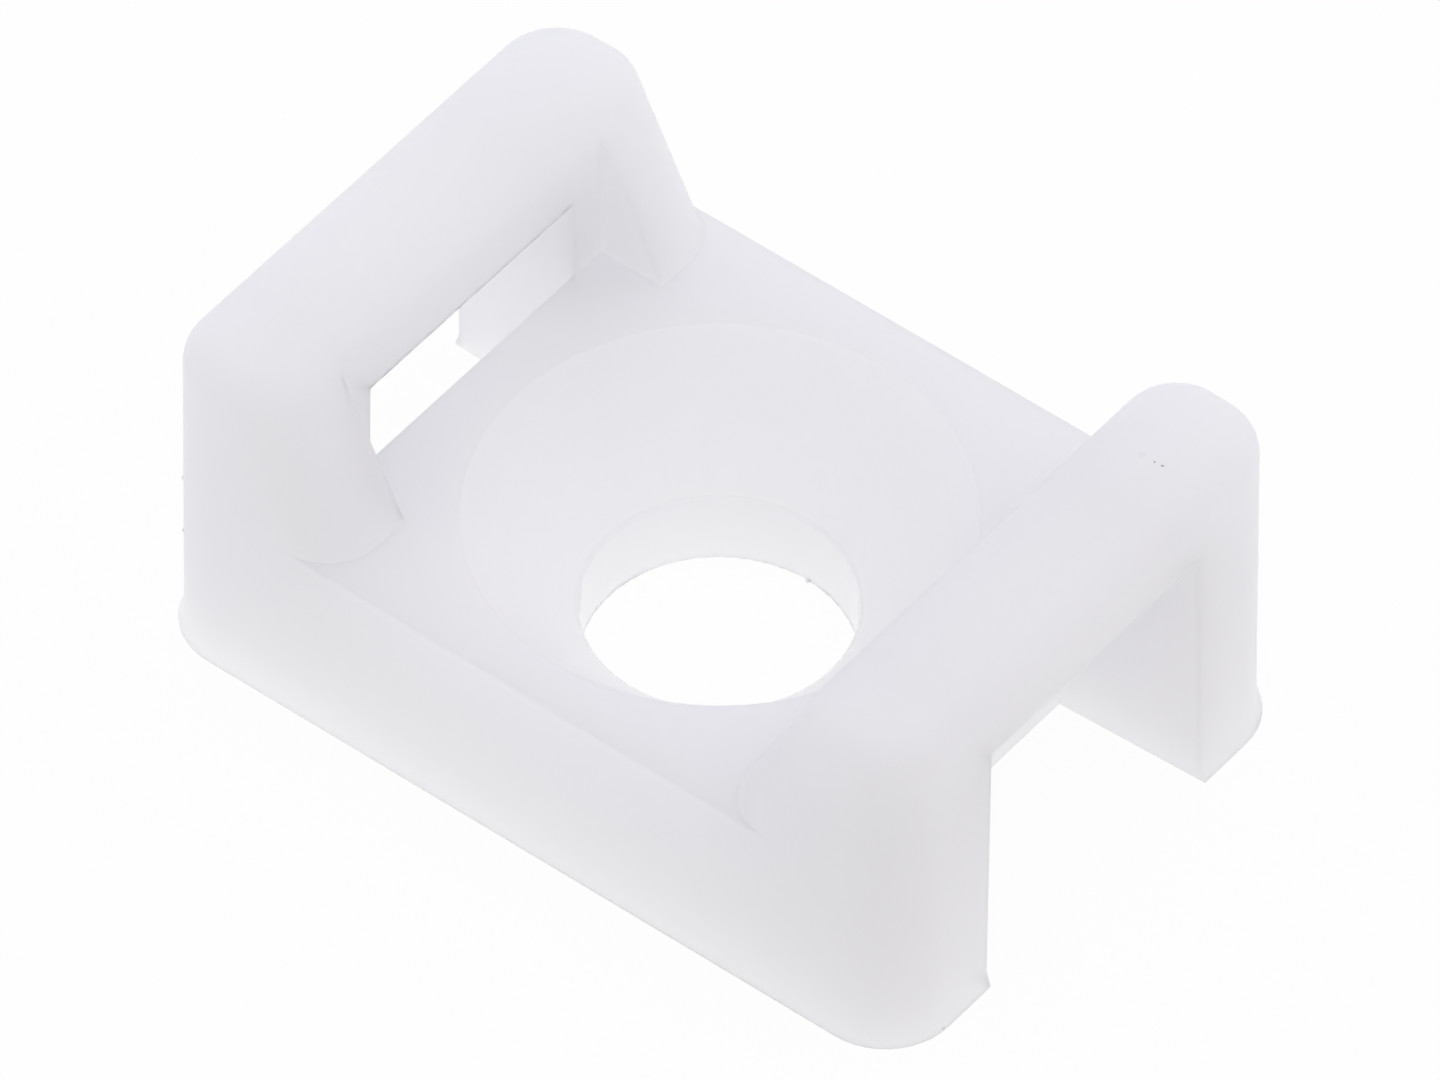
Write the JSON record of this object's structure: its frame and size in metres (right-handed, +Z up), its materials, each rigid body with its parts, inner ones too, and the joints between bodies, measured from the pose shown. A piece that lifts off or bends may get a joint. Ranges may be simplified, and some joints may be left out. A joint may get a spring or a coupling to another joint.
{
  "type": "cable tie mount",
  "caption": "Moulded nylon cable tie mount: a plate with a countersunk screw hole between raised end posts, each with a window through which a cable tie is threaded.",
  "frame": {"origin": "middle of the flat underside, on the axis of the screw hole", "axes": "+X along the long side, from post to post, +Y across it, +Z up out of the mounting surface along the screw hole"},
  "size_m": [0.015, 0.01, 0.0064],
  "materials": {
    "natural_nylon": "uncoloured moulded nylon, milky and slightly translucent, satin"
  },
  "bodies": {
    "root": {"tie_mount": "natural_nylon"}
  },
  "joints": []
}
